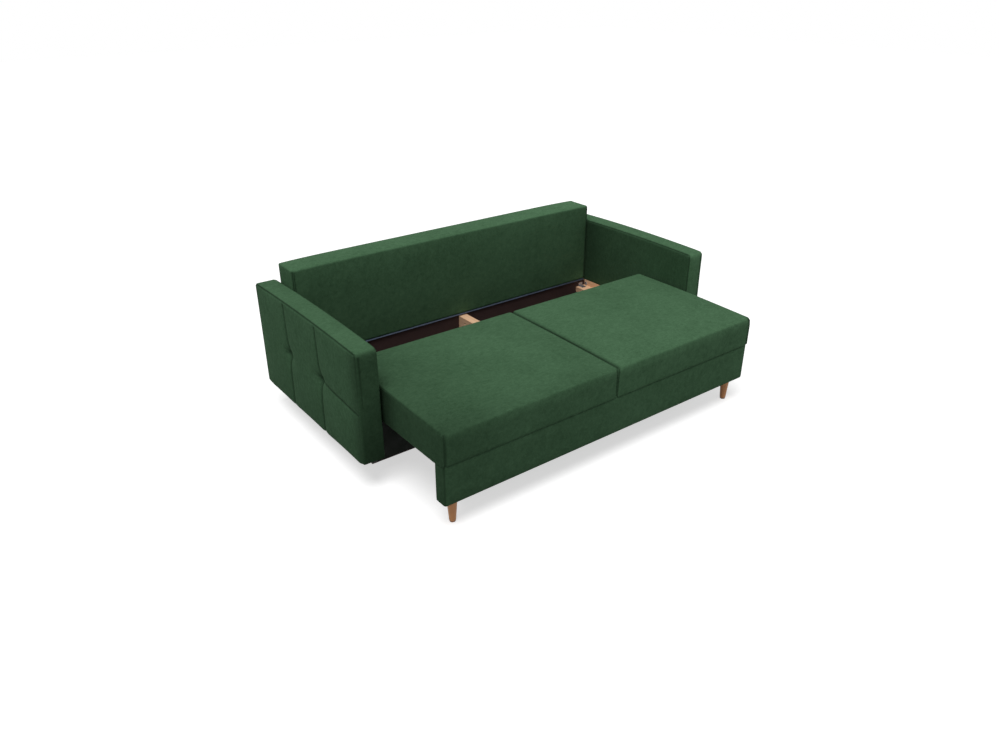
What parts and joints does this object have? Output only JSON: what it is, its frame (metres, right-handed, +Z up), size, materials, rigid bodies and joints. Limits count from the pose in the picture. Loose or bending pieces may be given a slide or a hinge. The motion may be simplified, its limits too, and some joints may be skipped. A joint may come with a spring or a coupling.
{
  "type": "sofa bed",
  "caption": "Boxy upholstered sofa bed: cushioned seat on turned legs pulls forward from between tufted arms, opening a bedding box in front of a hinged back.",
  "frame": {"origin": "on the floor, at the centre of the footprint with the seat pulled out", "axes": "+X to the right seen from the front, +Y to the rear, +Z up"},
  "size_m": [2.1, 1.45, 0.762],
  "materials": {
    "velvet": "short-pile green velvet",
    "foam": "upholstery foam",
    "webbing": "elastic upholstery webbing",
    "pine": "planed bare pine",
    "lined_board": "board lined with black non-woven cloth",
    "box_lining": "dark brown hardboard",
    "dust_cloth": "black non-woven dust cloth",
    "stained_wood": "turned beech, orange-brown stain, satin",
    "zinc_steel": "zinc-plated steel",
    "spring_steel": "oiled spring wire",
    "black_plastic": "moulded black plastic",
    "roller_plastic": "off-white nylon",
    "rest_rubber": "black rubber"
  },
  "bodies": {
    "base": {"side_rail_left": "pine", "side_rail_right": "pine", "runner_left": "pine", "runner_right": "pine", "runner_stops": "pine", "centre_rail": "pine", "front_rail": "lined_board", "hinge_rail": "pine", "box_rear_lining": "box_lining", "rear_rail": "pine", "base_rear_panel": "velvet", "box_floor": "box_lining", "base_feet": "black_plastic", "back_rest_pads": "rest_rubber", "corner_brackets": "zinc_steel", "connector_bolts": "zinc_steel", "barrel_nuts": "zinc_steel", "arm_frame_left": "pine", "arm_frame_right": "pine", "arm_upholstery_left": "velvet", "arm_upholstery_right": "velvet", "arm_buttons_left": "velvet", "arm_buttons_right": "velvet", "arm_dust_covers": "dust_cloth", "arm_bolts": "zinc_steel", "hinge_leaf_base": "zinc_steel", "hinge_pin": "zinc_steel", "hinge_screws_base": "zinc_steel"},
    "back": {"back_upholstery": "velvet", "back_foam": "foam", "back_webbing": "webbing", "back_bottom_rail": "pine", "back_top_rail": "pine", "back_stiles": "pine", "back_rear_panel": "velvet", "hinge_leaf_back": "zinc_steel", "hinge_screws_back": "zinc_steel"},
    "seat": {"seat_cushion_left": "velvet", "seat_cushion_right": "velvet", "seat_foam_left": "foam", "seat_foam_right": "foam", "seat_springs": "spring_steel", "seat_front_rail": "pine", "seat_rear_rail": "pine", "seat_side_rails": "pine", "seat_stretchers": "pine", "seat_dust_cover": "dust_cloth", "front_panel_cover": "velvet", "front_panel_core": "pine", "panel_brackets": "zinc_steel", "front_leg_left": "stained_wood", "front_leg_right": "stained_wood", "leg_plates": "zinc_steel", "leg_bolts": "zinc_steel", "leg_glides": "black_plastic", "roller_brackets": "zinc_steel", "roller_axles": "zinc_steel"},
    "roller_left": {"roller_left": "roller_plastic"},
    "roller_right": {"roller_right": "roller_plastic"}
  },
  "joints": [
    {"name": "seat_slide", "type": "slide", "parent": "base", "child": "seat", "axis": [0, -1, 0], "range_m": [-0.43, 0]},
    {"name": "back_fold", "type": "hinge", "parent": "base", "child": "back", "pos_m": [0, 0.508, 0.302], "axis": [1, 0, 0], "range_deg": [0, 10]},
    {"name": "roller_left_spin", "type": "hinge", "parent": "seat", "child": "roller_left", "pos_m": [-0.895, -0.002, 0.2793], "axis": [1, 0, 0], "continuous": true},
    {"name": "roller_right_spin", "type": "hinge", "parent": "seat", "child": "roller_right", "pos_m": [0.895, -0.002, 0.2793], "axis": [1, 0, 0], "continuous": true}
  ],
  "couplings": [
    {"joint": "roller_left_spin", "follows": "seat_slide", "rad_per_m": 58.824},
    {"joint": "roller_right_spin", "follows": "seat_slide", "rad_per_m": 58.824}
  ]
}
